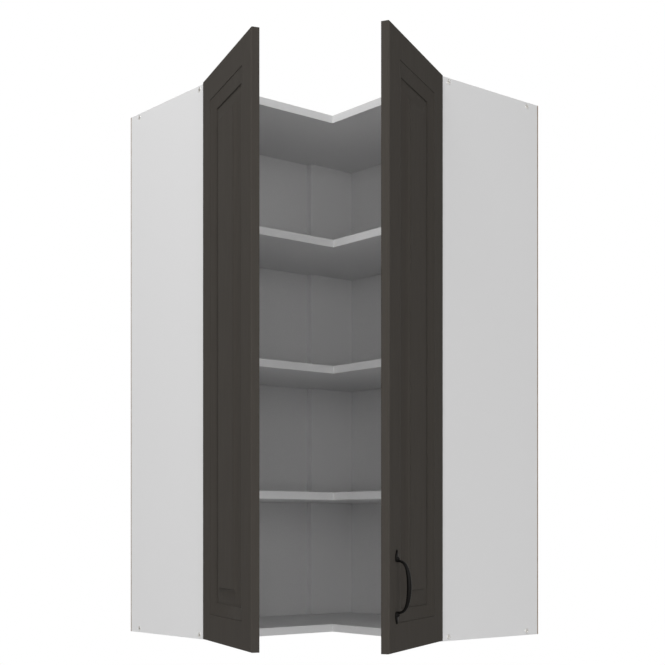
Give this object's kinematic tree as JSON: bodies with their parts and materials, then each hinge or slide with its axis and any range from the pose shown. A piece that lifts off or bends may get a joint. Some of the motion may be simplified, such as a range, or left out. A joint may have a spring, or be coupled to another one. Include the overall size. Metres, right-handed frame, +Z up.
{
  "type": "corner wall cabinet",
  "caption": "L-shaped corner wall cabinet with internal shelves, raised-panel doors on concealed hinges and a bow handle, shown with both doors open.",
  "frame": {"origin": "corner of the room where the two wall planes meet, at the height of the cabinet's underside", "axes": "+X along the right-hand wall (plane Y = 0), -Y along the left-hand wall (plane X = 0), +Z up"},
  "size_m": [0.7519, 0.702, 1.08],
  "materials": {
    "board": "white melamine-faced chipboard, fine satin texture",
    "back": "white lacquered thin hardboard",
    "door": "dark graphite-brown foil on MDF, matt with a faint grain",
    "handle": "matt black paint",
    "steel": "nickel-plated steel",
    "hanger": "white moulded plastic"
  },
  "bodies": {
    "cabinet": {"bottom_board": "board", "top_board": "board", "corner_upright": "board", "left_side_panel": "board", "left_back_panel": "back", "left_hanger": "hanger", "left_carcass_screw_1": "steel", "left_carcass_screw_2": "steel", "left_carcass_screw_3": "steel", "left_carcass_screw_4": "steel", "left_pin_1_rear": "steel", "left_pin_1_front": "steel", "left_pin_2_rear": "steel", "left_pin_2_front": "steel", "left_pin_3_rear": "steel", "left_pin_3_front": "steel", "left_upper_hinge_arm": "steel", "left_upper_hinge_plate": "steel", "left_lower_hinge_arm": "steel", "left_lower_hinge_plate": "steel", "right_side_panel": "board", "right_back_panel": "back", "right_hanger": "hanger", "right_carcass_screw_1": "steel", "right_carcass_screw_2": "steel", "right_carcass_screw_3": "steel", "right_carcass_screw_4": "steel", "right_pin_1_rear": "steel", "right_pin_1_front": "steel", "right_pin_2_rear": "steel", "right_pin_2_front": "steel", "right_pin_3_rear": "steel", "right_pin_3_front": "steel", "right_upper_hinge_arm": "steel", "right_upper_hinge_plate": "steel", "right_lower_hinge_arm": "steel", "right_lower_hinge_plate": "steel", "shelf_1": "board", "shelf_1_corner_screw": "steel", "shelf_2": "board", "shelf_2_corner_screw": "steel", "shelf_3": "board", "shelf_3_corner_screw": "steel"},
    "left_door": {"left_door": "door", "left_upper_hinge_cup": "steel", "left_lower_hinge_cup": "steel"},
    "left_inner_links": {"left_upper_hinge_inner_link": "steel", "left_lower_hinge_inner_link": "steel"},
    "left_outer_links": {"left_upper_hinge_outer_link": "steel", "left_lower_hinge_outer_link": "steel"},
    "right_door": {"right_door": "door", "right_upper_hinge_cup": "steel", "right_lower_hinge_cup": "steel", "handle": "handle", "handle_screw_1": "steel", "handle_screw_2": "steel"},
    "right_inner_links": {"right_upper_hinge_inner_link": "steel", "right_lower_hinge_inner_link": "steel"},
    "right_outer_links": {"right_upper_hinge_outer_link": "steel", "right_lower_hinge_outer_link": "steel"}
  },
  "joints": [
    {"name": "left_door_hinge", "type": "hinge", "parent": "cabinet", "child": "left_door", "pos_m": [0.2875, -0.5967, 0.54], "axis": [0, 0, -1], "range_deg": [-108.2, 11.8]},
    {"name": "left_arm_pivot", "type": "hinge", "parent": "cabinet", "child": "left_inner_links", "pos_m": [0.286, -0.5757, 0.54], "axis": [0, 0, -1], "range_deg": [-108.2, 11.8]},
    {"name": "left_cup_pivot", "type": "hinge", "parent": "left_door", "child": "left_outer_links", "pos_m": [0.29814, -0.6002, 0.54], "axis": [0, 0, -1], "range_deg": [-11.8, 108.2]},
    {"name": "right_door_hinge", "type": "hinge", "parent": "cabinet", "child": "right_door", "pos_m": [0.5967, -0.2875, 0.54], "axis": [0, 0, 1], "range_deg": [-117.2, 2.8]},
    {"name": "right_arm_pivot", "type": "hinge", "parent": "cabinet", "child": "right_inner_links", "pos_m": [0.5757, -0.286, 0.54], "axis": [0, 0, 1], "range_deg": [-117.2, 2.8]},
    {"name": "right_cup_pivot", "type": "hinge", "parent": "right_door", "child": "right_outer_links", "pos_m": [0.60182, -0.29746, 0.54], "axis": [0, 0, 1], "range_deg": [-2.8, 117.2]}
  ],
  "couplings": [
    {"joint": "left_arm_pivot", "follows": "left_door_hinge", "ratio": 1},
    {"joint": "left_cup_pivot", "follows": "left_door_hinge", "ratio": -1},
    {"joint": "right_arm_pivot", "follows": "right_door_hinge", "ratio": 1},
    {"joint": "right_cup_pivot", "follows": "right_door_hinge", "ratio": -1}
  ]
}
